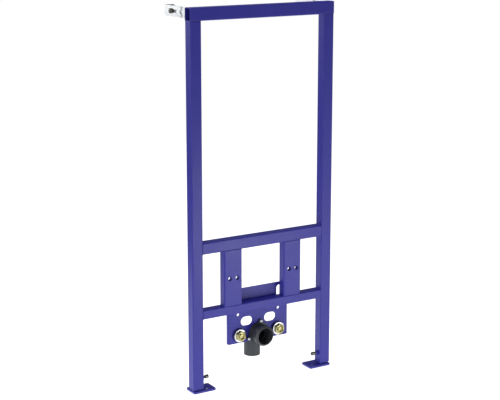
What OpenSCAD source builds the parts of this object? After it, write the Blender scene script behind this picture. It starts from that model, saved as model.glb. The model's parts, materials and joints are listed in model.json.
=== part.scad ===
// Bidet installation frame: a free-standing steel frame that carries a wall-hung bidet,
// with its drain elbow, two water connections, adjustable feet and wall brackets.
// Millimetres, +Z up, front toward -Y. The origin is on the floor, midway between the
// posts and halfway between the drain's mouth and the wall.

/* [Frame] */
// width over the two posts
frame_w = 480; // [440:1:520]
// height from the floor to the top of the top bar
frame_h = 1120; // [1060:1:1180]
// width of a post, seen from the front
post_w = 35; // [32:1:40]
// depth of all the tubes, front to back
tube_d = 31; // [29:1:36]
// wall thickness of the tubes
tube_wall = 2; // [1.5:0.5:2.5]
// outer corner radius of the tubes
tube_r = 3; // [3:0.5:4]
// height of the top bar's section
top_bar_h = 37; // [33:1:42]
// underside of the upper crossbar above the floor
upper_bar_z = 415; // [400:0.5:430]
// height of the upper crossbar's section
upper_bar_h = 34; // [28:1:40]
// underside of the lower crossbar above the floor
lower_bar_z = 220.5; // [216:0.5:230]
// height of the lower crossbar's section
lower_bar_h = 27; // [24:1:32]

/* [Fixing plates] */
// outer distance of the fixing holes
hole_span_outer = 230; // [224:1:240]
// inner distance of the fixing holes
hole_span_inner = 180; // [176:1:186]
// height of the fixing holes above the floor
fixing_z = 330; // [300:1:360]
// width of one fixing plate
plate_w = 60; // [58:1:66]
// depth of a fixing plate with its side flanges
plate_d = 25; // [18:1:28]
// sheet thickness of the plates
sheet_t = 3; // [2:0.5:3.5]
// first hole from a fixing plate's left edge
plate_hole_x = 19.5; // [18:0.5:21]
// radius of the holes in the sheet
fixing_hole_r = 6.5; // [6.5:0.1:7]
// radius inside the threads of the nuts behind them
fixing_thread_r = 5.1; // [5:0.1:6]
// width across flats of these nuts
fixing_nut_w = 19; // [18:0.5:21]
// thickness of these nuts
fixing_nut_t = 10; // [6:0.5:12]

/* [Outlet plate] */
// width of the outlet plate
outlet_w = 208; // [200:1:214]
// its lower edge above the floor
outlet_z = 116; // [112:1:117]
// its upper edge above the floor
outlet_top = 285; // [282:1:292]
// its depth with the side flanges
outlet_d = 11; // [8:1:16]
// distance of the two small holes
small_hole_span = 140.5; // [136:0.5:144]
// height of the small holes above the floor
small_hole_z = 204.4; // [202:0.1:208]
// radius of the small holes
small_hole_r = 4.5; // [3:0.5:5]
// distance of the two oblong holes
oblong_span = 82; // [80:1:84]
// height of the oblong holes above the floor
oblong_z = 181; // [180:0.5:184]
// width of an oblong hole
oblong_w = 40; // [36:1:41]
// height of an oblong hole
oblong_h = 28; // [24:1:29]
// distance of the two slots in the upper corners
corner_slot_span = 147; // [146:1:150]
// width of a corner slot
corner_slot_w = 19.5; // [16:0.5:20]
// length of a corner slot
corner_slot_l = 48; // [40:1:50]
// top of the corner slots above the floor
corner_slot_top = 276.5; // [274:0.5:278]

/* [Drain] */
// height of the drain socket's axis above the floor
drain_z = 137; // [135:0.5:138]
// distance of the socket's mouth in front of the frame
mouth_out = 11; // [8:1:16]
// outer radius of the pipe
pipe_r = 25; // [24.5:0.1:25.2]
// wall thickness of the pipe
pipe_wall = 3; // [2:0.5:4]
// bore radius of the socket
socket_bore_r = 25.3; // [25.3:0.1:25.6]
// depth of the socket
socket_depth = 36; // [32:1:38]
// outer radius of the arm behind the socket's head
arm_r = 28; // [27.5:0.5:29]
// outer radius of the bead over the seal
bead_r = 31; // [30.5:0.5:32]
// distance of the spigot's axis behind the frame's front
spigot_y = 67; // [64:1:74]
// lower end of the spigot above the floor
spigot_z = 60; // [50:1:70]
// thickness of the ring that holds the elbow to the plate
ring_t = 6; // [4:0.5:7]
// radius of the ring's screw circle
ring_screw_circle = 37; // [36.5:0.5:38]
// radius of the ring's screws
ring_screw_r = 2.5; // [2:0.5:3]

/* [Water connections] */
// distance of the two connections
water_span = 135; // [132:1:137]
// height of the connections above the floor
water_z = 141; // [139:0.5:142]
// radius inside the thread at the front of a connection
water_thread_r = 7.5; // [7:0.1:8]
// length of that thread
water_thread_l = 12; // [10:1:13]
// radius of the waterway
water_bore_r = 5; // [4:0.5:6]
// outer radius of the stub at the front
stub_r = 10; // [9.5:0.5:10.5]
// length of the stub in front of its nut
stub_l = 5; // [4:1:14]
// width across flats of the nuts
water_nut_w = 29; // [27:1:31]
// thickness of the nuts
water_nut_t = 8; // [6:0.5:10]
// radius of the washers
washer_r = 20; // [18:0.5:20.5]
// thickness of the washers
washer_t = 3; // [2:0.5:4]
// thickness of the rubber rings behind the washers
rubber_t = 6; // [4:0.5:7]

/* [Feet] */
// width of a base plate
base_w = 73; // [70:1:84]
// depth of a base plate
base_d = 50; // [46:1:60]
// thickness of a base plate
base_t = 6; // [5:0.5:8]
// overhang of a base plate in front of the posts
base_front = 4.5; // [2:0.5:8]
// gap between a post and its base plate
leg_gap = 5; // [2:1:30]
// height of the legs inside the posts
leg_h = 204; // [120:1:260]
// distance of the left floor slot from the frame's left side
floor_slot_left = 50.5; // [47:0.5:60]
// distance of the right floor slot from the frame's right side
floor_slot_right = 61; // [47:0.5:62]
// width of a floor slot
floor_slot_w = 8.5; // [7:0.5:10]
// length of a floor slot
floor_slot_l = 24; // [18:1:28]
// height of the leg clamp bolts above the floor
leg_bolt_z = 40; // [36:1:60]
// radius of the leg clamp bolts
leg_bolt_r = 4; // [3:0.5:5]

/* [Wall brackets] */
// distance of the wall behind the frame's front
wall_y = 160; // [150:1:175]
// height of the bracket plates
bracket_h = 30; // [26:1:32]
// radius of the bracket bolts
bracket_bolt_r = 4; // [3:0.5:4]
// distance of the bracket bolts in front of the wall
bolt_from_wall = 40; // [34:1:48]
// length of the slot in a bracket arm
arm_slot_l = 51; // [44:1:54]

/* [Hidden] */
$fn = 48;
seg = 96;
cut = 1;
half_w = frame_w / 2;
post_x = half_w - post_w / 2;
inner_x = half_w - post_w;
span_in = frame_w - 2 * post_w;
front_y = (mouth_out - wall_y) / 2;
mid_y = tube_d / 2;
post_z = base_t + leg_gap;
post_l = frame_h - top_bar_h - post_z;
plate_z = lower_bar_z + lower_bar_h;
plate_l = upper_bar_z - plate_z;
plate_x_left = -hole_span_outer / 2 - plate_hole_x;
plate_x_right = hole_span_inner / 2 - plate_hole_x;
hole_step = (hole_span_outer - hole_span_inner) / 2;
sheet_r = sheet_t + 1;
out_y = tube_d;
out_back = out_y + sheet_t;
corner_slot_mid = corner_slot_top - corner_slot_l / 2;
notch_r = arm_r + 2;
bend_r = spigot_y - out_back;
seal_in = 6;
seal_w = 7;
bead_in = seal_in - 1;
bead_w = seal_w + 5;
rib_in = mouth_out + 14;
rib_w = 3;
rib_r = arm_r + 1.5;
seal_t = 3;
ring_y = out_y - ring_t;
ring_r = arm_r + 6;
lug_r = 6.5;
lug_angles = [80, 197, 335];
screw_head_r = 4.8;
screw_head_t = 3.2;
screw_nut_t = 4;
rubber_y = out_y - rubber_t;
washer_y = rubber_y - washer_t;
nut_y = washer_y - water_nut_t;
stub_y = nut_y - stub_l;
collar_w = 30;
collar_t = 8;
tail_l = 20;
base_r = 4;
leg_clear = 0.4;
leg_w = post_w - 2 * tube_wall - 2 * leg_clear;
leg_d = tube_d - 2 * tube_wall - 2 * leg_clear;
leg_nut_w = 13;
leg_nut_t = 6;
leg_bolt_l = 22;
leg_head_l = 10;
leg_head_r = 5.5;
bracket_z = frame_h - 1 - bracket_h;
head_t = 5;
arm_x = -post_w / 2 + head_t;
side_x = arm_x + sheet_t;
bolt_y = wall_y - bolt_from_wall;
bolt_clear = 0.5;
slot_far = bolt_y + bracket_bolt_r + 1;
slot_near = slot_far - arm_slot_l;
arm_near = slot_near - 10;
arm_far = wall_y - 2;
notch_depth = 6;
base_far = arm_near + notch_depth + 1;
angle_near = bolt_y - 20;
flange_w = 24;
wall_flange_w = post_w / 2 - side_x;
wall_hole_r = 4.5;

blue = [0.24, 0.23, 0.58];
zinc = [0.78, 0.79, 0.80];
brass = [0.72, 0.68, 0.36];
plastic = [0.30, 0.31, 0.34];
rubber = [0.10, 0.10, 0.11];

// parts are drawn with y = 0 at the frame's front face and moved to the origin here
module placed(x = 0, y = 0, z = 0) {
    translate([x, front_y + y, z])
        children();
}

// turns a part that was drawn along +Z so that it runs along +Y
module along_y() {
    rotate([-90, 0, 0])
        children();
}

module rounded_rect(w, d, r) {
    union() {
        square([w - 2 * r, d], center = true);
        square([w, d - 2 * r], center = true);
        for (sx = [-1, 1]) {
            for (sy = [-1, 1]) {
                translate([sx * (w / 2 - r), sy * (d / 2 - r)])
                    circle(r);
            }
        }
    }
}

module tube_section(w, d) {
    difference() {
        rounded_rect(w, d, tube_r);
        rounded_rect(w - 2 * tube_wall, d - 2 * tube_wall, tube_r - tube_wall + 0.5);
    }
}

// a tube along X, its section h high and tube_d deep
module crossbar(len, h) {
    translate([-len / 2, mid_y, h / 2])
        rotate([90, 0, 90])
            linear_extrude(len)
                tube_section(tube_d, h);
}

// a C section w wide and d deep, open to the back, its outer corners rounded
module channel_section(w, d) {
    difference() {
        union() {
            translate([sheet_r, 0])
                square([w - 2 * sheet_r, d]);
            translate([0, sheet_r])
                square([w, d - sheet_r]);
            for (x = [sheet_r, w - sheet_r]) {
                translate([x, sheet_r])
                    circle(sheet_r);
            }
        }
        translate([sheet_t, sheet_t])
            square([w - 2 * sheet_t, d]);
    }
}

// an upright slot or an oblong hole through the sheet, w wide and h high
module slot_cut(w, h) {
    r = min(w, h) / 2;
    dx = w / 2 - r;
    dz = h / 2 - r;
    along_y()
        translate([0, 0, -cut])
            linear_extrude(sheet_t + 2 * cut)
                union() {
                    for (s = [-1, 1]) {
                        translate([s * dx, s * dz])
                            circle(r, $fn = seg);
                    }
                    square([max(2 * dx, w > h ? 0 : w), max(2 * dz, h > w ? 0 : h)], center = true);
                }
}

// a round hole through the sheet
module hole_cut(r) {
    along_y()
        translate([0, 0, -cut])
            cylinder(r = r, h = sheet_t + 2 * cut, $fn = seg);
}

module hexagon(w, t) {
    cylinder(r = w / 2 / cos(30), h = t, $fn = 6);
}

module hex_nut(w, t, r) {
    difference() {
        hexagon(w, t);
        translate([0, 0, -cut])
            cylinder(r = r, h = t + 2 * cut, $fn = seg);
    }
}

module ring(r, inner_r, t) {
    difference() {
        cylinder(r = r, h = t, $fn = seg);
        translate([0, 0, -cut])
            cylinder(r = inner_r, h = t + 2 * cut, $fn = seg);
    }
}

module post(side) {
    color(blue)
        difference() {
            placed(side * post_x, mid_y, post_z)
                linear_extrude(post_l)
                    tube_section(post_w, tube_d);
            placed(side * inner_x, mid_y, leg_bolt_z)
                rotate([0, 90, 0])
                    cylinder(r = leg_bolt_r, h = 3 * tube_wall, center = true, $fn = seg);
        }
}

module left_post() {
    post(-1);
}

module right_post() {
    post(1);
}

module top_bar() {
    color(blue)
        placed(z = frame_h - top_bar_h)
            crossbar(frame_w, top_bar_h);
}

module upper_crossbar() {
    color(blue)
        placed(z = upper_bar_z)
            crossbar(span_in, upper_bar_h);
}

module lower_crossbar() {
    color(blue)
        placed(z = lower_bar_z)
            crossbar(span_in, lower_bar_h);
}

module fixing_plate(x) {
    color(blue)
        placed(x, 0, plate_z)
            difference() {
                linear_extrude(plate_l)
                    channel_section(plate_w, plate_d);
                for (i = [0, 1]) {
                    translate([plate_hole_x + i * hole_step, 0, fixing_z - plate_z])
                        hole_cut(fixing_hole_r);
                }
            }
}

module left_fixing_plate() {
    fixing_plate(plate_x_left);
}

module right_fixing_plate() {
    fixing_plate(plate_x_right);
}

// the two threaded nuts on the inside of one plate
module fixing_nuts(x) {
    color(zinc)
        for (i = [0, 1]) {
            placed(x + plate_hole_x + i * hole_step, sheet_t, fixing_z)
                along_y()
                    rotate([0, 0, 30])
                        hex_nut(fixing_nut_w, fixing_nut_t, fixing_thread_r);
        }
}

module left_fixing_nuts() {
    fixing_nuts(plate_x_left);
}

module right_fixing_nuts() {
    fixing_nuts(plate_x_right);
}

module lug_places() {
    for (a = lug_angles) {
        translate([ring_screw_circle * cos(a), 0, ring_screw_circle * sin(a)])
            children();
    }
}

module outlet_plate() {
    color(blue)
        placed(0, out_y)
            difference() {
                translate([-outlet_w / 2, 0, outlet_z])
                    linear_extrude(outlet_top - outlet_z)
                        channel_section(outlet_w, outlet_d);
                for (s = [-1, 1]) {
                    translate([s * small_hole_span / 2, 0, small_hole_z])
                        hole_cut(small_hole_r);
                    translate([s * oblong_span / 2, 0, oblong_z])
                        slot_cut(oblong_w, oblong_h);
                    translate([s * corner_slot_span / 2, 0, corner_slot_mid])
                        slot_cut(corner_slot_w, corner_slot_l);
                    translate([s * water_span / 2, 0, water_z])
                        hole_cut(stub_r);
                }
                translate([0, 0, drain_z]) {
                    hole_cut(notch_r);
                    lug_places()
                        hole_cut(ring_screw_r);
                }
            }
}

// the pipe of radius r from y0 on the arm through a quarter bend down to z1
module elbow_run(r, y0, z1) {
    translate([0, y0, 0])
        along_y()
            cylinder(r = r, h = out_back - y0, $fn = seg);
    translate([0, out_back, -bend_r])
        rotate([0, -90, 0])
            rotate_extrude(angle = 90, $fn = seg)
                translate([bend_r, 0])
                    circle(r, $fn = seg);
    translate([0, spigot_y, z1])
        cylinder(r = r, h = -bend_r - z1, $fn = seg);
}

// outline of the socket as radius and distance from its mouth
function socket_outline() = [
    [0, 0],
    [arm_r - 1, 0],
    [arm_r, 1],
    [arm_r, bead_in - 3],
    [bead_r, bead_in],
    [bead_r, bead_in + bead_w],
    [arm_r, bead_in + bead_w + 4],
    [arm_r, rib_in],
    [rib_r, rib_in],
    [rib_r, rib_in + rib_w],
    [arm_r, rib_in + rib_w],
    [arm_r, mouth_out + out_y],
    [0, mouth_out + out_y]
];

module drain_elbow() {
    end_z = spigot_z - drain_z;
    color(plastic)
        placed(0, 0, drain_z)
            difference() {
                union() {
                    translate([0, -mouth_out, 0])
                        along_y()
                            rotate_extrude($fn = seg)
                                polygon(socket_outline());
                    elbow_run(pipe_r, out_y, end_z);
                }
                translate([0, -mouth_out, 0])
                    along_y() {
                        translate([0, 0, -cut])
                            cylinder(r = socket_bore_r, h = socket_depth + cut, $fn = seg);
                        translate([0, 0, seal_in])
                            cylinder(r = socket_bore_r + seal_t, h = seal_w, $fn = seg);
                    }
                elbow_run(pipe_r - pipe_wall, socket_depth - mouth_out - cut, end_z - cut);
            }
}

module drain_seal() {
    color(rubber)
        placed(0, seal_in - mouth_out, drain_z)
            along_y()
                ring(socket_bore_r + seal_t, socket_bore_r, seal_w);
}

// the ring with three lugs that holds the elbow in the plate
module elbow_ring() {
    color(plastic)
        placed(0, ring_y, drain_z)
            difference() {
                union() {
                    along_y()
                        cylinder(r = ring_r, h = ring_t, $fn = seg);
                    lug_places()
                        along_y()
                            cylinder(r = lug_r, h = ring_t, $fn = seg);
                }
                translate([0, -cut, 0])
                    along_y()
                        cylinder(r = arm_r, h = ring_t + 2 * cut, $fn = seg);
                lug_places()
                    translate([0, -cut, 0])
                        along_y()
                            cylinder(r = ring_screw_r, h = ring_t + 2 * cut, $fn = seg);
            }
}

module elbow_ring_screws() {
    color(zinc)
        placed(0, ring_y, drain_z)
            lug_places()
                along_y()
                    union() {
                        translate([0, 0, -screw_head_t])
                            cylinder(r = screw_head_r, h = screw_head_t, $fn = seg);
                        cylinder(r = ring_screw_r, h = ring_t + sheet_t, $fn = seg);
                        translate([0, 0, ring_t + sheet_t])
                            hexagon(8, screw_nut_t);
                    }
}

module water_place(side, y) {
    placed(side * water_span / 2, y, water_z)
        along_y()
            children();
}

module water_rubber(side) {
    color(rubber)
        water_place(side, rubber_y)
            ring(washer_r + 1, stub_r, rubber_t);
}

module left_water_rubber() {
    water_rubber(-1);
}

module right_water_rubber() {
    water_rubber(1);
}

module water_washer(side) {
    color(zinc)
        water_place(side, washer_y)
            ring(washer_r, stub_r, washer_t);
}

module left_water_washer() {
    water_washer(-1);
}

module right_water_washer() {
    water_washer(1);
}

module water_nut(side) {
    color(brass)
        water_place(side, nut_y)
            hex_nut(water_nut_w, water_nut_t, stub_r);
}

module left_water_nut() {
    water_nut(-1);
}

module right_water_nut() {
    water_nut(1);
}

// stub, shank through the plate, hexagon collar and threaded tail in one turned piece
module water_fitting(side) {
    shank_l = out_back - stub_y;
    whole_l = shank_l + collar_t + tail_l;
    color(brass)
        water_place(side, stub_y)
            difference() {
                union() {
                    cylinder(r = stub_r, h = whole_l, $fn = seg);
                    translate([0, 0, shank_l])
                        hexagon(collar_w, collar_t);
                }
                translate([0, 0, -cut])
                    cylinder(r = water_thread_r, h = water_thread_l + cut, $fn = seg);
                cylinder(r = water_bore_r, h = whole_l + cut, $fn = seg);
            }
}

module left_water_fitting() {
    water_fitting(-1);
}

module right_water_fitting() {
    water_fitting(1);
}

module leg(side) {
    color(blue)
        placed(side * post_x, mid_y, base_t)
            linear_extrude(leg_h)
                difference() {
                    rounded_rect(leg_w, leg_d, tube_r - 1);
                    square([leg_w - 2 * tube_wall, leg_d - 2 * tube_wall], center = true);
                }
}

module left_leg() {
    leg(-1);
}

module right_leg() {
    leg(1);
}

module base_plate(side, slot_x) {
    color(blue)
        placed(side * (half_w - base_w / 2), base_d / 2 - base_front)
            linear_extrude(base_t)
                difference() {
                    rounded_rect(base_w, base_d, base_r);
                    translate([side * (base_w / 2 - slot_x), base_front + floor_slot_l / 2 - base_d / 2])
                        union() {
                            for (s = [-1, 1]) {
                                translate([0, s * (floor_slot_l - floor_slot_w) / 2])
                                    circle(floor_slot_w / 2);
                            }
                            square([floor_slot_w, floor_slot_l - floor_slot_w], center = true);
                        }
                }
}

module left_base_plate() {
    base_plate(-1, floor_slot_left);
}

module right_base_plate() {
    base_plate(1, floor_slot_right);
}

// points +Z away from the post's inner face, at the leg clamp bolt
module leg_bolt_place(side) {
    placed(side * inner_x, mid_y, leg_bolt_z)
        rotate([0, -side * 90, 0])
            children();
}

module leg_nut(side) {
    color(zinc)
        leg_bolt_place(side)
            hex_nut(leg_nut_w, leg_nut_t, leg_bolt_r);
}

module left_leg_nut() {
    leg_nut(-1);
}

module right_leg_nut() {
    leg_nut(1);
}

// the bolt's tip presses on the leg inside the post
module leg_bolt(side) {
    tip = tube_wall + leg_clear;
    color(zinc)
        leg_bolt_place(side)
            union() {
                translate([0, 0, -tip])
                    cylinder(r = leg_bolt_r, h = tip + leg_bolt_l - leg_head_l, $fn = seg);
                translate([0, 0, leg_bolt_l - leg_head_l])
                    cylinder(r = leg_head_r, h = leg_head_l, $fn = seg);
            }
}

module left_leg_bolt() {
    leg_bolt(-1);
}

module right_leg_bolt() {
    leg_bolt(1);
}

// both brackets are the same part, set near the left side of each post
module bracket_base(side) {
    color(zinc)
        placed(side * post_x + side_x, tube_d, bracket_z)
            union() {
                cube([sheet_t, base_far - tube_d, bracket_h]);
                cube([flange_w, sheet_t, bracket_h]);
            }
}

module left_bracket_base() {
    bracket_base(-1);
}

module right_bracket_base() {
    bracket_base(1);
}

module bracket_arm(side) {
    r = bracket_bolt_r + bolt_clear;
    mid = bracket_h / 2;
    color(zinc)
        placed(side * post_x + arm_x, 0, bracket_z)
            difference() {
                translate([0, arm_near, 0])
                    cube([sheet_t, arm_far - arm_near, bracket_h]);
                translate([-cut, 0, mid])
                    rotate([0, 90, 0])
                        linear_extrude(sheet_t + 2 * cut)
                            union() {
                                translate([0, slot_near + r])
                                    circle(r, $fn = seg);
                                translate([0, slot_far - r])
                                    circle(r, $fn = seg);
                                translate([-r, slot_near + r])
                                    square([2 * r, slot_far - slot_near - 2 * r]);
                                translate([0, arm_near])
                                    circle(notch_depth, $fn = seg);
                            }
            }
}

module left_bracket_arm() {
    bracket_arm(-1);
}

module right_bracket_arm() {
    bracket_arm(1);
}

module wall_angle(side) {
    mid = bracket_h / 2;
    color(zinc)
        placed(side * post_x + side_x, 0, bracket_z)
            difference() {
                union() {
                    translate([0, angle_near, 0])
                        cube([sheet_t, wall_y - angle_near, bracket_h]);
                    translate([0, wall_y - sheet_t, 0])
                        cube([wall_flange_w, sheet_t, bracket_h]);
                }
                translate([-cut, bolt_y, mid])
                    rotate([0, 90, 0])
                        cylinder(r = bracket_bolt_r, h = sheet_t + 2 * cut, $fn = seg);
                translate([(wall_flange_w + sheet_t) / 2, wall_y - sheet_t, mid])
                    hole_cut(wall_hole_r);
            }
}

module left_wall_angle() {
    wall_angle(-1);
}

module right_wall_angle() {
    wall_angle(1);
}

// hexagon head, shank through arm and angle, and the nut inside
module bracket_bolt(side) {
    color(zinc)
        placed(side * post_x + arm_x - head_t, bolt_y, bracket_z + bracket_h / 2)
            rotate([0, 90, 0])
                union() {
                    hexagon(leg_nut_w, head_t);
                    cylinder(r = bracket_bolt_r, h = head_t + 2 * sheet_t + 10, $fn = seg);
                    translate([0, 0, head_t + 2 * sheet_t])
                        hexagon(leg_nut_w, leg_nut_t);
                }
}

module left_bracket_bolt() {
    bracket_bolt(-1);
}

module right_bracket_bolt() {
    bracket_bolt(1);
}

left_post();
right_post();
top_bar();
upper_crossbar();
lower_crossbar();
left_fixing_plate();
right_fixing_plate();
left_fixing_nuts();
right_fixing_nuts();
outlet_plate();
drain_elbow();
drain_seal();
elbow_ring();
elbow_ring_screws();
left_water_rubber();
right_water_rubber();
left_water_washer();
right_water_washer();
left_water_nut();
right_water_nut();
left_water_fitting();
right_water_fitting();
left_leg();
right_leg();
left_base_plate();
right_base_plate();
left_leg_nut();
right_leg_nut();
left_leg_bolt();
right_leg_bolt();
left_bracket_base();
right_bracket_base();
left_bracket_arm();
right_bracket_arm();
left_wall_angle();
right_wall_angle();
left_bracket_bolt();
right_bracket_bolt();
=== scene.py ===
import json
import math
import bpy
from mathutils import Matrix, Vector


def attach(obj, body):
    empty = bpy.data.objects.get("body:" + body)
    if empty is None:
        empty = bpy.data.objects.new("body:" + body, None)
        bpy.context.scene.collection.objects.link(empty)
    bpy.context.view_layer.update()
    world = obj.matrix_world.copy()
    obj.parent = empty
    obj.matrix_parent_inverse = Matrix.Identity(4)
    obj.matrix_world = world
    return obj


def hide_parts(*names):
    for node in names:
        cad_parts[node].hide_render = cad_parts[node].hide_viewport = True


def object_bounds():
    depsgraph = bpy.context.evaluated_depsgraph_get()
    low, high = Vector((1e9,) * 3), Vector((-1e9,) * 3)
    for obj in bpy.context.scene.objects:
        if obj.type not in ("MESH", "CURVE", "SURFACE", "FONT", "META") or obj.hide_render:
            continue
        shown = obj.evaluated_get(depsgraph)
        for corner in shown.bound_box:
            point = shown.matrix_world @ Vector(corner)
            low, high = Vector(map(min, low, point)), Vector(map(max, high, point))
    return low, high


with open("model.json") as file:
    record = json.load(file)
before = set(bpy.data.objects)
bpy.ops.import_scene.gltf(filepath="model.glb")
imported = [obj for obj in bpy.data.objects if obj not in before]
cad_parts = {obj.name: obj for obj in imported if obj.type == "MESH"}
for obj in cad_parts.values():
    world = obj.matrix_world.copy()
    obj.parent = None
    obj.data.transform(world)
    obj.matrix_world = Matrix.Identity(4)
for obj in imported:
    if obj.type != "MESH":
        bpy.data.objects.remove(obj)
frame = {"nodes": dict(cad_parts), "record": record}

# Looks of a steel frame that carries a wall-hung bidet.
# Metres, +Z up, front toward -Y. Sizes in the settings are in millimetres.
cadLow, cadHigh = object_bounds()
nodes = frame["nodes"]
mm = 0.001
frontY = -74.5  # front face of the tubes
axisTurn = {"y": (-math.pi / 2, 0, 0), "x": (0, math.pi / 2, 0), "-x": (0, -math.pi / 2, 0)}
axisWay = {"y": Vector((0, 1, 0)), "x": Vector((1, 0, 0)), "-x": Vector((-1, 0, 0))}


def point(x, y, z):
    # millimetres, y counted back from the tubes' front face
    return Vector((x, frontY + y, z)) * mm


def clearPick():
    if bpy.context.object and bpy.context.object.mode != "OBJECT":
        bpy.ops.object.mode_set(mode="OBJECT")
    bpy.ops.object.select_all(action="DESELECT")


def pickOnly(piece):
    clearPick()
    piece.select_set(True)
    bpy.context.view_layer.objects.active = piece


def applyAll(piece):
    pickOnly(piece)
    for modifier in list(piece.modifiers):
        bpy.ops.object.modifier_apply(modifier=modifier.name)


def closeMesh(piece, gap=0.00001):
    # merges doubles, caps what is open and turns the faces outward
    pickOnly(piece)
    bpy.ops.object.mode_set(mode="EDIT")
    bpy.ops.mesh.select_all(action="SELECT")
    bpy.ops.mesh.remove_doubles(threshold=gap)
    bpy.ops.mesh.select_all(action="SELECT")
    bpy.ops.mesh.fill_holes(sides=0)
    bpy.ops.mesh.select_all(action="SELECT")
    bpy.ops.mesh.normals_make_consistent(inside=False)
    bpy.ops.object.mode_set(mode="OBJECT")


def joinPieces(name, parts):
    clearPick()
    for part in parts:
        part.select_set(True)
    bpy.context.view_layer.objects.active = parts[0]
    if len(parts) > 1:
        bpy.ops.object.join()
    piece = bpy.context.object
    piece.name = name
    piece.data.name = name
    return piece


def finishPiece(piece, finish, replaced=()):
    pickOnly(piece)
    bpy.ops.object.transform_apply(location=True, rotation=True, scale=True)
    bpy.ops.object.shade_smooth_by_angle(angle=math.radians(32))
    piece.data.materials.clear()
    piece.data.materials.append(finish)
    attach(piece, "root")
    if replaced:
        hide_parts(*replaced)
    return piece


# the camera stands where the photo's did, lifted and tilted so that its shift stays small
camera = {"place": (-1.971, -3.230, 1.417), "yaw": 31.36, "pitch": 12.21, "lens": 94.18, "shiftY": -0.04}
bpy.ops.object.camera_add(location=camera["place"])
eye = bpy.context.object
eye.name = "photoCamera"
eye.rotation_euler = (math.radians(90 - camera["pitch"]), 0, math.radians(-camera["yaw"]))
eye.data.lens = camera["lens"]
eye.data.sensor_width = 36
eye.data.shift_y = camera["shiftY"]
bpy.context.scene.camera = eye
print("camera placed")

# colour, from hex as the eye reads it to the linear values of the shaders


def toLinear(hexColour):
    parts = []
    for i in (0, 2, 4):
        c = int(hexColour[i:i + 2], 16) / 255
        parts.append(c / 12.92 if c <= 0.04045 else ((c + 0.055) / 1.055) ** 2.4)
    return (*parts, 1.0)


def addNode(tree, kind, settings=None, links=None):
    # words that the node knows are set on it, all others on its inputs
    node = tree.nodes.new(kind)
    for key, value in (settings or {}).items():
        if isinstance(key, str) and hasattr(node, key):
            setattr(node, key, value)
        else:
            node.inputs[key].default_value = value
    for key, socket in (links or {}).items():
        tree.links.new(socket, node.inputs[key])
    return node


def startMaterial(name):
    material = bpy.data.materials.new(name)
    material.use_nodes = True
    tree = material.node_tree
    tree.nodes.clear()
    shader = addNode(tree, "ShaderNodeBsdfPrincipled")
    addNode(tree, "ShaderNodeOutputMaterial", links={"Surface": shader.outputs["BSDF"]})
    place = addNode(tree, "ShaderNodeTexCoord").outputs["Object"]
    return material, tree, shader, place


# soft studio: a white backdrop, dim air, a low key from the front right, and a tall strip on the left
# that draws the highlight along the posts' rounded corners; each light is name, place, aim, width, height, power
studio = {
    "backdrop": "FFFFFF", "air": "FFFFFF", "airPower": 0.17,
    "lights": [
        ("keyLow", (0.62, -1.35, 0.05), (0.0, 0.0, 0.3), 0.3, 0.3, 4.6),
        ("nearSoft", (-2.3, -2.5, 1.7), (0.0, 0.0, 0.6), 1.6, 1.6, 12.0),
        ("leftStrip", (-1.97, -1.1, 0.55), (0.0, 0.0, 0.55), 0.14, 1.0, 9.0),
        ("leftSide", (-2.4, -0.2, 0.9), (0.0, 0.0, 0.6), 1.2, 1.2, 9.0),
        ("bracketBack", (-1.64, 2.6, 1.25), (-0.24, 0.05, 1.1), 1.2, 0.7, 9.0),
        ("topSoft", (-0.1, 0.1, 3.0), (0.0, 0.0, 0.5), 1.8, 1.8, 30.0),
    ],
}
world = bpy.data.worlds.new("whiteStudio")
bpy.context.scene.world = world
world.use_nodes = True
air = world.node_tree.nodes["Background"]
air.inputs["Color"].default_value = toLinear(studio["air"])
air.inputs["Strength"].default_value = studio["airPower"]
backdrop = addNode(world.node_tree, "ShaderNodeBackground", {"Color": toLinear(studio["backdrop"]), "Strength": 1.0})
ray = addNode(world.node_tree, "ShaderNodeLightPath")
both = addNode(world.node_tree, "ShaderNodeMixShader",
               links={0: ray.outputs["Is Camera Ray"], 1: air.outputs["Background"], 2: backdrop.outputs["Background"]})
world.node_tree.links.new(both.outputs["Shader"], world.node_tree.nodes["World Output"].inputs["Surface"])
for name, place, aim, wide, tall, power in studio["lights"]:
    clearPick()
    bpy.ops.object.light_add(type="AREA", location=place)
    lamp = bpy.context.object
    lamp.name = name
    lamp.data.shape = "RECTANGLE"
    lamp.data.size = wide
    lamp.data.size_y = tall
    lamp.data.energy = power
    lamp.rotation_euler = (Vector(aim) - Vector(place)).to_track_quat("-Z", "Y").to_euler()
bpy.context.scene.view_settings.view_transform = "Standard"
print("studio lit")

# satin ultramarine powder coat on steel tube: baked on, slightly orange-peeled, thinner on edges
coat = {"deep": "2D2C8E", "light": "33319A", "edge": "4E4CAA", "peelSize": 5.0, "cloudSize": 90.0, "edgeWidth": 1.1}


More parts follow.
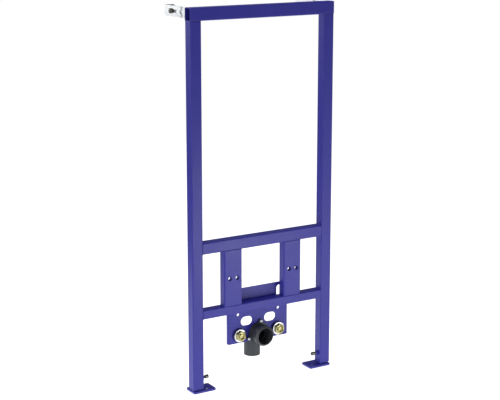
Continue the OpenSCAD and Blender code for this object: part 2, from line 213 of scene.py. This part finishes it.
def makePowderCoat():
    material, tree, shader, place = startMaterial("ultramarinePowderCoat")
    clouds = addNode(tree, "ShaderNodeTexNoise", {"Scale": 1 / (coat["cloudSize"] * mm), "Detail": 3.0}, {"Vector": place})
    blue = addNode(tree, "ShaderNodeMix", {"data_type": "RGBA", 6: toLinear(coat["deep"]), 7: toLinear(coat["light"])},
                   {0: clouds.outputs["Fac"]})
    # the normal just inside an edge leans away from the face's own, which marks the edge
    soft = addNode(tree, "ShaderNodeBevel", {"samples": 4, "Radius": coat["edgeWidth"] * mm})
    face = addNode(tree, "ShaderNodeNewGeometry")
    lean = addNode(tree, "ShaderNodeVectorMath", {"operation": "DOT_PRODUCT"},
                   {0: soft.outputs["Normal"], 1: face.outputs["Normal"]})
    edge = addNode(tree, "ShaderNodeMapRange", {"From Min": 0.99, "From Max": 0.8, "To Min": 0.0, "To Max": 0.6},
                   {"Value": lean.outputs["Value"]})
    worn = addNode(tree, "ShaderNodeMix", {"data_type": "RGBA", 7: toLinear(coat["edge"])},
                   {0: edge.outputs["Result"], 6: blue.outputs[2]})
    peel = addNode(tree, "ShaderNodeTexNoise", {"Scale": 1 / (coat["peelSize"] * mm), "Detail": 2.0}, {"Vector": place})
    bump = addNode(tree, "ShaderNodeBump", {"Strength": 0.12, "Distance": 0.0004},
                   {"Height": peel.outputs["Fac"], "Normal": soft.outputs["Normal"]})
    gloss = addNode(tree, "ShaderNodeMapRange", {"To Min": 0.34, "To Max": 0.46}, {"Value": clouds.outputs["Fac"]})
    tree.links.new(worn.outputs[2], shader.inputs["Base Color"])
    tree.links.new(gloss.outputs["Result"], shader.inputs["Roughness"])
    tree.links.new(bump.outputs["Normal"], shader.inputs["Normal"])
    shader.inputs["IOR"].default_value = 1.42
    return material


# bright zinc plate on pressed or cold-formed steel: soft grey with cloudy, faintly streaked gloss
plating = {"bright": "F2F4F6", "dull": "D0D3D6", "cloudSize": 9.0, "grainSize": 1.6}
# the bolts get a darker zinc tone with an olive cast
boltPlating = {"bright": "85887F", "dull": "55584F", "cloudSize": 5.0, "grainSize": 1.2}


def makeZinc(name, look):
    material, tree, shader, place = startMaterial(name)
    clouds = addNode(tree, "ShaderNodeTexNoise", {"Scale": 1 / (look["cloudSize"] * mm), "Detail": 4.0}, {"Vector": place})
    grain = addNode(tree, "ShaderNodeTexVoronoi", {"Scale": 1 / (look["grainSize"] * mm)}, {"Vector": place})
    tone = addNode(tree, "ShaderNodeMix", {"data_type": "RGBA", 6: toLinear(look["dull"]), 7: toLinear(look["bright"])},
                   {0: clouds.outputs["Fac"]})
    gloss = addNode(tree, "ShaderNodeMapRange", {"To Min": 0.26, "To Max": 0.44}, {"Value": clouds.outputs["Fac"]})
    bump = addNode(tree, "ShaderNodeBump", {"Strength": 0.08, "Distance": 0.0002}, {"Height": grain.outputs["Distance"]})
    tree.links.new(tone.outputs[2], shader.inputs["Base Color"])
    tree.links.new(gloss.outputs["Result"], shader.inputs["Roughness"])
    tree.links.new(bump.outputs["Normal"], shader.inputs["Normal"])
    shader.inputs["Metallic"].default_value = 1.0
    return material


# turned brass, greenish yellow as cut: fine rings left by the tool run round each fitting
turned = {"yellow": "CFC898", "green": "85834A", "ringPitch": 0.8, "spotSize": 5.0}


def makeBrass():
    material, tree, shader, place = startMaterial("turnedBrass")
    # bands across Y are rings round a fitting that lies along Y
    rings = addNode(tree, "ShaderNodeTexWave", {"bands_direction": "Y", "Scale": 0.314 / (turned["ringPitch"] * mm), "Distortion": 0.4},
                    {"Vector": place})
    spots = addNode(tree, "ShaderNodeTexNoise", {"Scale": 1 / (turned["spotSize"] * mm), "Detail": 3.0}, {"Vector": place})
    tone = addNode(tree, "ShaderNodeMix", {"data_type": "RGBA", 6: toLinear(turned["green"]), 7: toLinear(turned["yellow"])},
                   {0: spots.outputs["Fac"]})
    gloss = addNode(tree, "ShaderNodeMapRange", {"To Min": 0.2, "To Max": 0.36}, {"Value": spots.outputs["Fac"]})
    bump = addNode(tree, "ShaderNodeBump", {"Strength": 0.1, "Distance": 0.0001}, {"Height": rings.outputs["Fac"]})
    tree.links.new(tone.outputs[2], shader.inputs["Base Color"])
    tree.links.new(gloss.outputs["Result"], shader.inputs["Roughness"])
    tree.links.new(bump.outputs["Normal"], shader.inputs["Normal"])
    shader.inputs["Metallic"].default_value = 1.0
    return material


# injection-moulded polyethylene drain part: mid grey, waxy gloss, faint flow marks in the wall
moulded = {"dark": "2E3136", "pale": "3C4046", "flowSize": 22.0, "grainSize": 1.8}


def makePolyethylene():
    material, tree, shader, place = startMaterial("mouldedPolyethylene")
    flow = addNode(tree, "ShaderNodeTexNoise", {"Scale": 1 / (moulded["flowSize"] * mm), "Detail": 2.0, "Distortion": 0.6}, {"Vector": place})
    grain = addNode(tree, "ShaderNodeTexNoise", {"Scale": 1 / (moulded["grainSize"] * mm), "Detail": 2.0}, {"Vector": place})
    tone = addNode(tree, "ShaderNodeMix", {"data_type": "RGBA", 6: toLinear(moulded["dark"]), 7: toLinear(moulded["pale"])},
                   {0: flow.outputs["Fac"]})
    gloss = addNode(tree, "ShaderNodeMapRange", {"To Min": 0.4, "To Max": 0.52}, {"Value": flow.outputs["Fac"]})
    bump = addNode(tree, "ShaderNodeBump", {"Strength": 0.1, "Distance": 0.0002}, {"Height": grain.outputs["Fac"]})
    tree.links.new(tone.outputs[2], shader.inputs["Base Color"])
    tree.links.new(gloss.outputs["Result"], shader.inputs["Roughness"])
    tree.links.new(bump.outputs["Normal"], shader.inputs["Normal"])
    shader.inputs["IOR"].default_value = 1.46
    return material


# sealing rubber, pressed in a mould: near black, matt, with a faint dusty bloom
sealing = {"black": "141416", "bloom": "2A2B2E", "bloomSize": 6.0, "grainSize": 1.0}


def makeRubber():
    material, tree, shader, place = startMaterial("sealingRubber")
    bloom = addNode(tree, "ShaderNodeTexNoise", {"Scale": 1 / (sealing["bloomSize"] * mm), "Detail": 4.0}, {"Vector": place})
    grain = addNode(tree, "ShaderNodeTexNoise", {"Scale": 1 / (sealing["grainSize"] * mm), "Detail": 1.0}, {"Vector": place})
    tone = addNode(tree, "ShaderNodeMix", {"data_type": "RGBA", 6: toLinear(sealing["black"]), 7: toLinear(sealing["bloom"])},
                   {0: bloom.outputs["Fac"]})
    bump = addNode(tree, "ShaderNodeBump", {"Strength": 0.15, "Distance": 0.0002}, {"Height": grain.outputs["Fac"]})
    gloss = addNode(tree, "ShaderNodeMapRange", {"To Min": 0.55, "To Max": 0.75}, {"Value": bloom.outputs["Fac"]})
    tree.links.new(tone.outputs[2], shader.inputs["Base Color"])
    tree.links.new(gloss.outputs["Result"], shader.inputs["Roughness"])
    tree.links.new(bump.outputs["Normal"], shader.inputs["Normal"])
    shader.inputs["IOR"].default_value = 1.52
    return material


finishes = {
    "blue_paint": makePowderCoat(),
    "zinc": makeZinc("brightZincPlate", plating),
    "brass": makeBrass(),
    "black_plastic": makePolyethylene(),
    "black_rubber": makeRubber(),
}
darkZinc = makeZinc("oliveZincBolt", boltPlating)
for part in frame["record"]["subparts"]:
    node = nodes[part["node"]]
    if not node.material_slots:
        node.data.materials.append(None)
    for holder in node.material_slots:
        holder.material = finishes[part["material_slot"]]
print("materials made")

# pale studio floor, painted board with a breath of mottling, lit from within like a light table
ground = {"colour": "F8F8F8", "shade": "F4F4F4", "size": 14.0, "corner": -1.65, "mottle": 300.0, "glow": 0.86}
material, tree, shader, place = startMaterial("paleFloorPaint")
mottle = addNode(tree, "ShaderNodeTexNoise", {"Scale": 1 / (ground["mottle"] * mm), "Detail": 2.0}, {"Vector": place})
tone = addNode(tree, "ShaderNodeMix", {"data_type": "RGBA", 6: toLinear(ground["shade"]), 7: toLinear(ground["colour"])},
               {0: mottle.outputs["Fac"]})
tree.links.new(tone.outputs[2], shader.inputs["Base Color"])
shader.inputs["Roughness"].default_value = 0.9
shader.inputs["Emission Color"].default_value = (1, 1, 1, 1)
shader.inputs["Emission Strength"].default_value = ground["glow"]
clearPick()
# it lies on its corner, so that the upper parts of the posts mirror the dim air past its edges
bpy.ops.mesh.primitive_plane_add(size=ground["size"], rotation=(0, 0, math.radians(45)),
                                 location=(ground["corner"] + ground["size"] / math.sqrt(2), 0.15, cadLow.z))
floor = bpy.context.object
floor.name = "studioFloor"
floor.data.materials.append(material)
print("floor laid")


def turnPiece(name, place, axis, profile, steps=48):
    # a circle is drawn out along the axis ring by ring; the profile is (distance, radius) in millimetres
    way = axisWay[axis]
    clearPick()
    bpy.ops.mesh.primitive_circle_add(vertices=steps, radius=profile[0][1] * mm, fill_type="NOTHING",
                                      location=place + way * profile[0][0] * mm, rotation=axisTurn[axis])
    piece = bpy.context.object
    piece.name = name
    bpy.ops.object.mode_set(mode="EDIT")
    bpy.ops.mesh.select_all(action="SELECT")
    for (a0, r0), (a1, r1) in zip(profile, profile[1:]):
        bpy.ops.mesh.extrude_region_move(TRANSFORM_OT_translate={"value": way * (a1 - a0) * mm})
        k = r1 / r0
        bpy.ops.transform.resize(value=(k, k, k), center_override=place + way * a1 * mm)
    bpy.ops.object.mode_set(mode="OBJECT")
    closeMesh(piece)
    return piece


def cutWith(piece, tool, operation):
    # both meshes are closed, so the exact solver gives a clean result
    boolean = piece.modifiers.new("cut", "BOOLEAN")
    boolean.operation = operation
    boolean.solver = "EXACT"
    boolean.object = tool
    applyAll(piece)
    bpy.data.objects.remove(tool)
    return piece


def hexBlank(name, place, axis, flats, start, length):
    # a six-sided bar whose corners are turned off at both ends, as on a real nut
    corner = flats / 2 / math.cos(math.radians(30))
    way = axisWay[axis]
    clearPick()
    bpy.ops.mesh.primitive_cylinder_add(vertices=6, radius=corner * mm, depth=length * mm,
                                        location=place + way * (start + length / 2) * mm, rotation=axisTurn[axis])
    piece = bpy.context.object
    piece.name = name
    slope = (corner - flats / 2 * 0.96) * math.tan(math.radians(30))
    tool = turnPiece("chamfer", place, axis, [
        (start, flats / 2 * 0.96), (start + slope, corner * 1.001),
        (start + length - slope, corner * 1.001), (start + length, flats / 2 * 0.96)], 60)
    return cutWith(piece, tool, "INTERSECT")


def threadRidge(name, place, axis, root, crest, pitch, start, length, steps=20):
    # a triangle swept round the axis by the Screw modifier; crest below root gives an inner thread
    turns = max(1, int(length / pitch) - 1)
    outward = 1 if crest > root else -1
    clearPick()
    bpy.ops.mesh.primitive_circle_add(vertices=3, radius=1.0, fill_type="NGON")
    piece = bpy.context.object
    piece.name = name
    piece.rotation_euler = (math.pi / 2, 0, 0)
    bpy.ops.object.transform_apply(location=False, rotation=True, scale=False)
    piece.rotation_euler = (0, math.pi / 2 * outward, 0)
    bpy.ops.object.transform_apply(location=False, rotation=True, scale=False)
    height = abs(crest - root) * 1.15
    piece.scale = (height / 1.5 * mm, 1, pitch * 0.92 / math.sqrt(3) * mm)
    piece.location = ((root - outward * abs(crest - root) * 0.15 + outward * height / 3) * mm, 0, 0)
    bpy.ops.object.transform_apply(location=True, rotation=False, scale=True)
    screw = piece.modifiers.new("thread", "SCREW")
    screw.axis = "Z"
    screw.steps = steps
    screw.render_steps = steps
    screw.iterations = turns
    screw.screw_offset = pitch * mm
    applyAll(piece)
    closeMesh(piece, 0.000002)
    piece.rotation_euler = axisTurn[axis]
    piece.location = place + axisWay[axis] * (start + pitch * 0.6) * mm
    pickOnly(piece)
    bpy.ops.object.transform_apply(location=True, rotation=True, scale=False)
    return piece


# wall-hung fixings: M12 nuts welded behind each fixing plate and painted with it, seen through its holes
fixing = {"flats": 19.0, "length": 10.0, "drill": 6.0, "thread": 5.1, "pitch": 1.75, "height": 330.0, "firstY": 3.0}
for side, places in (("left", (-115.0, -90.0)), ("right", (90.0, 115.0))):
    parts = []
    for x in places:
        spot = point(x, fixing["firstY"], fixing["height"])
        nut = hexBlank("nut", spot, "y", fixing["flats"], 0, fixing["length"])
        drill = turnPiece("drill", spot, "y", [(-1, fixing["drill"] + 0.6), (0.7, fixing["drill"]),
                          (fixing["length"] - 0.7, fixing["drill"]), (fixing["length"] + 1, fixing["drill"] + 0.6)], 40)
        cutWith(nut, drill, "DIFFERENCE")
        parts.append(nut)
        parts.append(threadRidge("ridge", spot, "y", fixing["drill"], fixing["thread"], fixing["pitch"], 0.2, fixing["length"] - 0.2))
    piece = joinPieces(side + "FixingNuts", parts)
    finishPiece(piece, finishes["blue_paint"], [side + "_fixing_nuts"])
print("fixing nuts made")

# water connections, front to back: stub, hexagon nut, washer, rubber ring, lock nut, threaded tail
water = {
    "x": 67.5, "height": 141.0, "stubFront": 9.0, "stubRadius": 10.0, "bore": 7.5, "boreDepth": 12.0, "way": 5.0,
    "nutFront": 14.0, "nutFlats": 29.0, "nutLength": 8.0, "washerFront": 22.0, "washerRadius": 20.0, "washerLength": 3.0,
    "ringRadius": 21.0, "ringLength": 6.0, "plateBack": 34.0, "lockFlats": 30.0, "lockLength": 8.0, "tailLength": 20.0,
    "pitch": 1.814, "threadDepth": 0.9,
}
for side, sign in (("left", -1), ("right", 1)):
    spot = point(sign * water["x"], 0, water["height"])
    front, back = water["stubFront"], water["plateBack"]
    end = back + water["lockLength"] + water["tailLength"]
    r = water["stubRadius"]
    core = r - water["threadDepth"]
    body = turnPiece("stub", spot, "y", [
        (front + 2.0, water["bore"]), (front, water["bore"] + 1.4), (front, r - 0.5), (front + 0.5, r), (back + water["lockLength"], r),
        (back + water["lockLength"] + 0.8, core), (end - 1.2, core), (end, core - 1.2), (end, water["way"] + 0.5),
        (end - 0.5, water["way"]), (front + water["boreDepth"], water["way"]), (front + water["boreDepth"] - 1.2, water["bore"]),
        (front + 2.0, water["bore"])], 64)
    lock = hexBlank("lock", spot, "y", water["lockFlats"], back, water["lockLength"])
    tail = threadRidge("tail", spot, "y", core, r, water["pitch"], back + water["lockLength"] + 0.4, water["tailLength"] - 0.4, 36)
    piece = joinPieces(side + "WaterFitting", [body, lock, tail])
    finishPiece(piece, finishes["brass"], [side + "_water_fitting"])
    nut = hexBlank("waterNut", spot, "y", water["nutFlats"], water["nutFront"], water["nutLength"])
    piece = joinPieces(side + "WaterNut", [nut])
    finishPiece(piece, finishes["brass"], [side + "_water_nut"])
    w0, w1, wr = water["washerFront"], water["washerFront"] + water["washerLength"], water["washerRadius"]
    piece = turnPiece(side + "WaterWasher", spot, "y", [
        (w0 + 0.3, r), (w0, r + 0.5), (w0, wr - 0.7), (w0 + 0.3, wr - 0.2), (w0 + 0.9, wr), (w1 - 0.6, wr), (w1, wr - 0.5),
        (w1, r), (w0 + 0.3, r)], 72)
    finishPiece(piece, finishes["zinc"], [side + "_water_washer"])
    k0, k1, kr = w1, w1 + water["ringLength"], water["ringRadius"]
    piece = turnPiece(side + "WaterRubber", spot, "y", [
        (k0, r), (k0, kr - 1.4), (k0 + 0.5, kr - 0.4), (k0 + 1.4, kr), (k1 - 1.4, kr), (k1 - 0.4, kr - 0.5), (k1, kr - 1.4),
        (k1, r), (k0, r)], 72)
    finishPiece(piece, finishes["black_rubber"], [side + "_water_rubber"])
print("water connections made")

# clamp bolts at the feet: M8 with a round head, in a nut that is welded to the post and painted with it
legBolt = {"x": 205.0, "height": 40.0, "tip": 2.4, "radius": 4.0, "core": 3.4, "pitch": 1.25, "reach": 22.0, "headLength": 10.0,
           "headRadius": 5.5, "nutFlats": 13.0, "nutLength": 6.0, "recess": 2.6, "recessDepth": 4.0}
for side, sign, axis in (("left", -1, "x"), ("right", 1, "-x")):
    spot = point(sign * legBolt["x"], 15.5, legBolt["height"])
    b, h = legBolt, legBolt["reach"] - legBolt["headLength"]
    shank = turnPiece("shank", spot, axis, [
        (-b["tip"], b["core"] - 0.9), (-b["tip"] + 0.9, b["core"]), (h, b["core"])], 32)
    ridge = threadRidge("ridge", spot, axis, b["core"], b["radius"], b["pitch"], 0.2 - b["tip"] + 0.9, h + b["tip"] - 1.1)
    head = turnPiece("head", spot, axis, [
        (h, b["headRadius"] - 0.4), (h + 0.4, b["headRadius"]), (b["reach"] - 0.9, b["headRadius"]),
        (b["reach"] - 0.25, b["headRadius"] - 0.3), (b["reach"], b["headRadius"] - 1.0)], 48)
    key = hexBlank("key", spot, axis, b["recess"] * 2, b["reach"] - b["recessDepth"], b["recessDepth"] + 2)
    cutWith(head, key, "DIFFERENCE")
    piece = joinPieces(side + "LegBolt", [shank, ridge, head])
    finishPiece(piece, darkZinc, [side + "_leg_bolt"])
    nut = hexBlank("legNut", spot, axis, b["nutFlats"], 0, b["nutLength"])
    drill = turnPiece("drill", spot, axis, [(-1, b["radius"] + 0.5), (0.6, b["radius"]), (b["nutLength"] - 0.6, b["radius"]),
                      (b["nutLength"] + 1, b["radius"] + 0.5)], 32)
    cutWith(nut, drill, "DIFFERENCE")
    piece = joinPieces(side + "LegNut", [nut])
    finishPiece(piece, finishes["blue_paint"], [side + "_leg_nut"])
print("leg bolts made")

# wall bracket bolts: M8 hexagon bolts, the nut on the inside, a washer under each
wallBolt = {"heads": (-235.0, 210.0), "back": 120.0, "height": 1104.0, "flats": 13.0, "headLength": 3.4, "washerLength": 1.6,
            "washerRadius": 7.4, "stack": 6.0, "nutLength": 6.0, "radius": 4.0, "core": 3.4, "pitch": 1.25, "reach": 21.0}
for side, x in (("left", wallBolt["heads"][0]), ("right", wallBolt["heads"][1])):
    b = wallBolt
    spot = point(x - 5.0, b["back"], b["height"])
    under = b["headLength"] + b["washerLength"]
    over = under + b["stack"]
    head = hexBlank("head", spot, "x", b["flats"], 0, b["headLength"])
    disc = turnPiece("disc", spot, "x", [
        (b["headLength"], b["core"] - 1), (b["headLength"], b["washerRadius"] - 0.3), (b["headLength"] + 0.3, b["washerRadius"]),
        (under - 0.2, b["washerRadius"]), (under, b["washerRadius"] - 0.2), (under, b["core"] - 1)], 40)
    shank = turnPiece("shank", spot, "x", [(1.5, b["core"]), (b["reach"] - 0.8, b["core"]), (b["reach"], b["core"] - 0.8)], 32)
    ridge = threadRidge("ridge", spot, "x", b["core"], b["radius"], b["pitch"], under + 0.2, b["reach"] - under - 1.4)
    nut = hexBlank("nut", spot, "x", b["flats"], over, b["nutLength"])
    piece = joinPieces(side + "BracketBolt", [head, disc, shank, ridge, nut])
    finishPiece(piece, darkZinc, [side + "_bracket_bolt"])
print("bracket bolts made")

# pan-head screws of the elbow's ring, with a cross recess, and their nuts behind the plate
ringScrew = {"circle": 37.0, "angles": (80, 197, 335), "height": 137.0, "front": 25.0, "headLength": 3.2, "headRadius": 4.8,
             "radius": 2.5, "through": 9.0, "nutFlats": 8.0, "nutLength": 4.0, "slotWidth": 1.1, "slotLength": 5.6, "slotDepth": 1.5}
parts = []
for angle in ringScrew["angles"]:
    b = ringScrew
    turn = math.radians(angle)
    spot = point(b["circle"] * math.cos(turn), b["front"], b["height"] + b["circle"] * math.sin(turn))
    head = turnPiece("head", spot, "y", [
        (-b["headLength"], b["headRadius"] * 0.45), (-b["headLength"] * 0.92, b["headRadius"] * 0.72),
        (-b["headLength"] * 0.62, b["headRadius"] * 0.94), (-b["headLength"] * 0.3, b["headRadius"]), (0, b["headRadius"])], 40)
    for wide, tall in ((b["slotLength"], b["slotWidth"]), (b["slotWidth"], b["slotLength"])):
        clearPick()
        bpy.ops.mesh.primitive_cube_add(size=1, location=spot + Vector((0, -b["headLength"], 0)) * mm)
        tool = bpy.context.object
        tool.scale = (wide * mm, 2 * b["slotDepth"] * mm, tall * mm)
        bpy.ops.object.transform_apply(location=False, rotation=False, scale=True)
        cutWith(head, tool, "DIFFERENCE")
    shank = turnPiece("shank", spot, "y", [(-0.5, b["radius"]), (b["through"] + b["nutLength"] - 0.4, b["radius"]),
                      (b["through"] + b["nutLength"], b["radius"] - 0.4)], 28)
    nut = hexBlank("nut", spot, "y", b["nutFlats"], b["through"], b["nutLength"])
    parts += [head, shank, nut]
piece = joinPieces("elbowRingScrews", parts)
finishPiece(piece, finishes["zinc"], ["elbow_ring_screws"])
print("ring screws made")

# lip seal in the socket: two soft ribs that the trap pipe slides past
lip = {"start": -5.0, "width": 7.0, "outer": 28.3, "inner": 25.3, "height": 137.0, "valley": 1.1}
spot = point(0, 0, lip["height"])
y0, y1, rIn = lip["start"], lip["start"] + lip["width"], lip["inner"]
piece = turnPiece("drainSeal", spot, "y", [
    (y0, lip["outer"]), (y0, rIn + lip["valley"]), (y0 + 0.8, rIn + 0.2), (y0 + 1.6, rIn), (y0 + 2.5, rIn + 0.3), (y0 + 3.3, rIn + lip["valley"]),
    (y0 + 3.9, rIn + lip["valley"]), (y0 + 4.7, rIn + 0.3), (y0 + 5.5, rIn), (y1 - 0.6, rIn + 0.3), (y1, rIn + lip["valley"]),
    (y1, lip["outer"]), (y0, lip["outer"])], 96)
finishPiece(piece, finishes["black_rubber"], ["drain_seal"])
print("seal made")

# fillet welds at the tube joints, left as run and painted over, a bead with a slight ripple
weld = {"leg": 3.0, "pitch": 3.2, "ripple": 0.16}


def weldBead(name, start, end):
    run = end - start
    count = max(4, int(run.length / (weld["pitch"] * 0.5 * mm)))
    clearPick()
    bpy.ops.mesh.primitive_circle_add(vertices=12, radius=weld["leg"] * mm, fill_type="NOTHING", location=start,
                                      rotation=run.to_track_quat("Z", "Y").to_euler())
    piece = bpy.context.object
    piece.name = name
    bpy.ops.object.mode_set(mode="EDIT")
    bpy.ops.mesh.select_all(action="SELECT")
    size = 1.0
    for i in range(1, count + 1):
        centre = start + run * (i / count)
        bpy.ops.mesh.extrude_region_move(TRANSFORM_OT_translate={"value": run / count})
        wanted = 1 + weld["ripple"] * (1 if i % 2 else -1) * 0.5
        if i == count:
            wanted = 0.8
        k = wanted / size
        size = wanted
        bpy.ops.transform.resize(value=(k, k, k), center_override=centre)
    bpy.ops.object.mode_set(mode="OBJECT")
    closeMesh(piece)
    return piece


# each bead runs front to back along the corner between a post and a crossbar
beads = {"postInner": 205.0, "upper": (415.0, 449.0), "lower": (220.5, 247.5), "from": 3.5, "to": 27.5, "sink": 0.9}
for barName, (low, high) in (("upper", beads["upper"]), ("lower", beads["lower"])):
    parts = []
    for sign in (-1, 1):
        for z, way in ((low, -1), (high, 1)):
            x = sign * (beads["postInner"] + beads["sink"])
            zz = z - way * beads["sink"]
            parts.append(weldBead("bead", point(x, beads["from"], zz), point(x, beads["to"], zz)))
    piece = joinPieces(barName + "CrossbarWelds", parts)
    finishPiece(piece, finishes["blue_paint"])
print("welds made")
